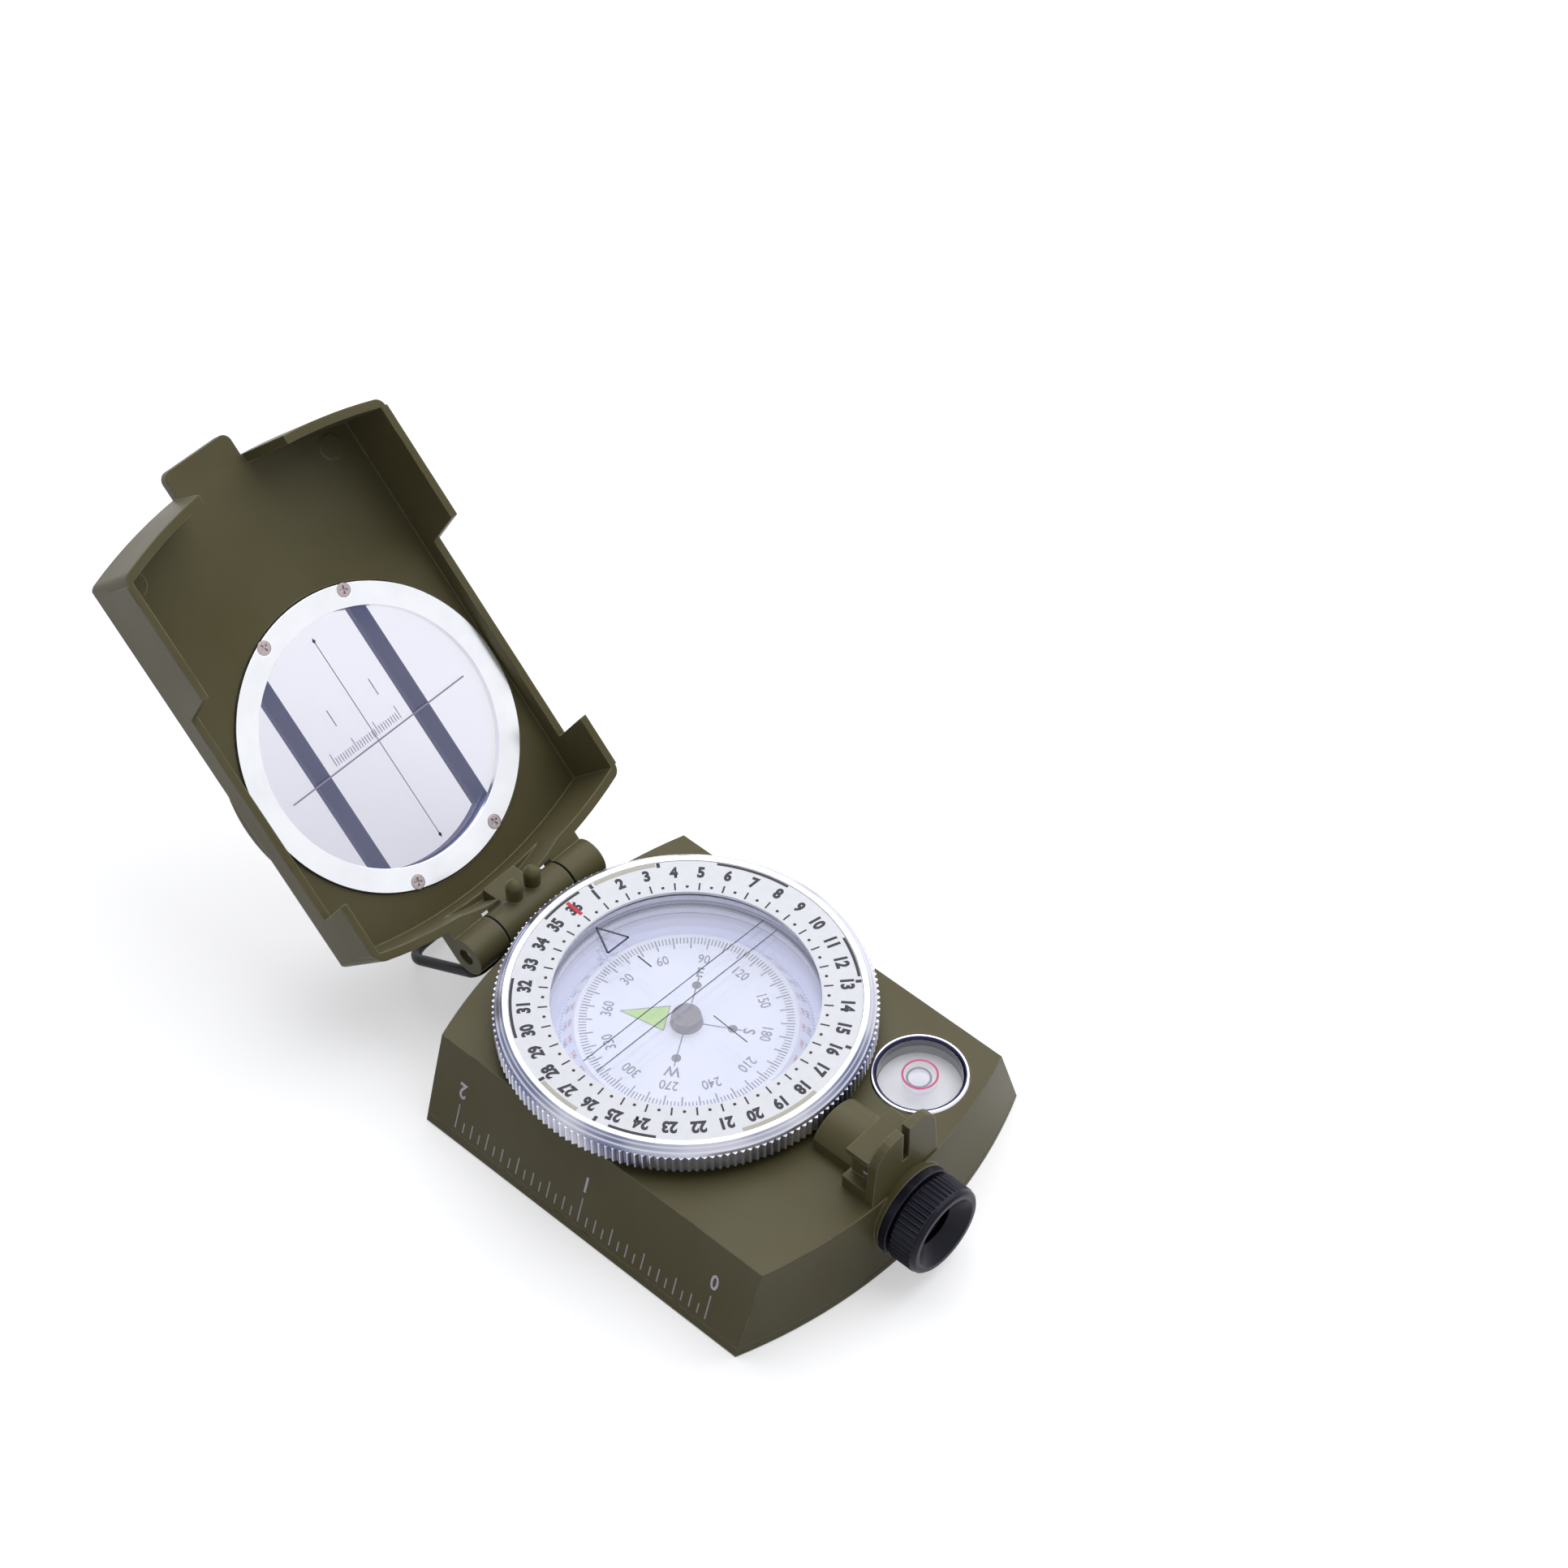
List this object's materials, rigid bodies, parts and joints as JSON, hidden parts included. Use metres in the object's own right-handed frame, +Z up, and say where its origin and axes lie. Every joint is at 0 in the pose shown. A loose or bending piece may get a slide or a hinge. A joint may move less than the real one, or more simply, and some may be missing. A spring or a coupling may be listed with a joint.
{
  "type": "lensatic compass",
  "caption": "Folding sighting compass with a windowed lid, turning azimuth bezel, floating card, round level, slotted sight and focusing eyepiece.",
  "frame": {"origin": "mouth of the tripod thread, in the middle of the foot", "axes": "+Y from the eyepiece to the hinge and the open lid, +X to the user's right, +Z up out of the dial"},
  "size_m": [0.0628, 0.1517, 0.0723],
  "materials": {
    "olive_paint": "satin",
    "silver_metal": "polished",
    "steel": "satin",
    "brass": "satin",
    "white_enamel": "satin",
    "dial_white": "matte",
    "magnet_steel": "satin",
    "hub_metal": "satin",
    "jewel": "gloss",
    "glass": "gloss",
    "black_metal": "gloss",
    "rubber": "matte",
    "pale_seal": "matte",
    "felt": "matte",
    "loop_black": "satin"
  },
  "bodies": {
    "base": {"base_shell": "olive_paint", "bottom_cover": "olive_paint", "cover_screws": "steel", "tripod_bush": "brass", "sight_bracket": "olive_paint", "bracket_screws": "steel", "capsule_cup": "white_enamel", "capsule_seal": "pale_seal", "capsule_glass": "glass", "capsule_window": "glass", "pivot_post": "steel", "bezel_snap_ring": "steel", "bezel_friction_ring": "felt", "level_housing": "silver_metal", "level_disc": "white_enamel", "level_glass": "glass", "eyepiece_tube": "black_metal", "hinge_washers": "black_metal"},
    "lid": {"lid_shell": "olive_paint", "window_seal": "rubber", "window_glass": "glass", "window_ring": "silver_metal", "ring_screws": "steel", "hinge_pin": "steel"},
    "bezel": {"bezel_ring": "silver_metal", "azimuth_ring": "white_enamel", "bezel_glass": "glass"},
    "dial": {"dial_card": "dial_white", "card_magnet": "magnet_steel", "card_hub": "hub_metal", "jewel_bearing": "jewel"},
    "focus": {"focus_ring": "black_metal"},
    "lens": {"lens_cell": "black_metal", "eye_lens": "glass", "lens_retainer": "black_metal", "focus_pin": "steel"},
    "loop": {"lanyard_loop": "loop_black"}
  },
  "joints": [
    {"name": "lid_hinge", "type": "hinge", "parent": "base", "child": "lid", "pos_m": [0, 0.0397, 0.0154], "axis": [1, 0, 0], "range_deg": [-10, 134.3]},
    {"name": "bezel_turn", "type": "hinge", "parent": "base", "child": "bezel", "pos_m": [0, 0.007, 0.019], "axis": [0, 0, 1], "continuous": true},
    {"name": "card_turn", "type": "hinge", "parent": "base", "child": "dial", "pos_m": [0, 0.007, 0.0144], "axis": [0, 0, 1], "continuous": true},
    {"name": "focus_turn", "type": "hinge", "parent": "base", "child": "focus", "pos_m": [0, -0.0415, 0.0092], "axis": [0, 1, 0], "range_deg": [-120, 120]},
    {"name": "lens_slide", "type": "slide", "parent": "base", "child": "lens", "axis": [0, 1, 0], "range_m": [-0.0005, 0.0005]},
    {"name": "loop_swing", "type": "hinge", "parent": "base", "child": "loop", "pos_m": [0, 0.0396, 0.0102], "axis": [1, 0, 0], "range_deg": [-60, 10]}
  ],
  "couplings": [
    {"joint": "lens_slide", "follows": "focus_turn", "m_per_rad": 0.0002387}
  ]
}
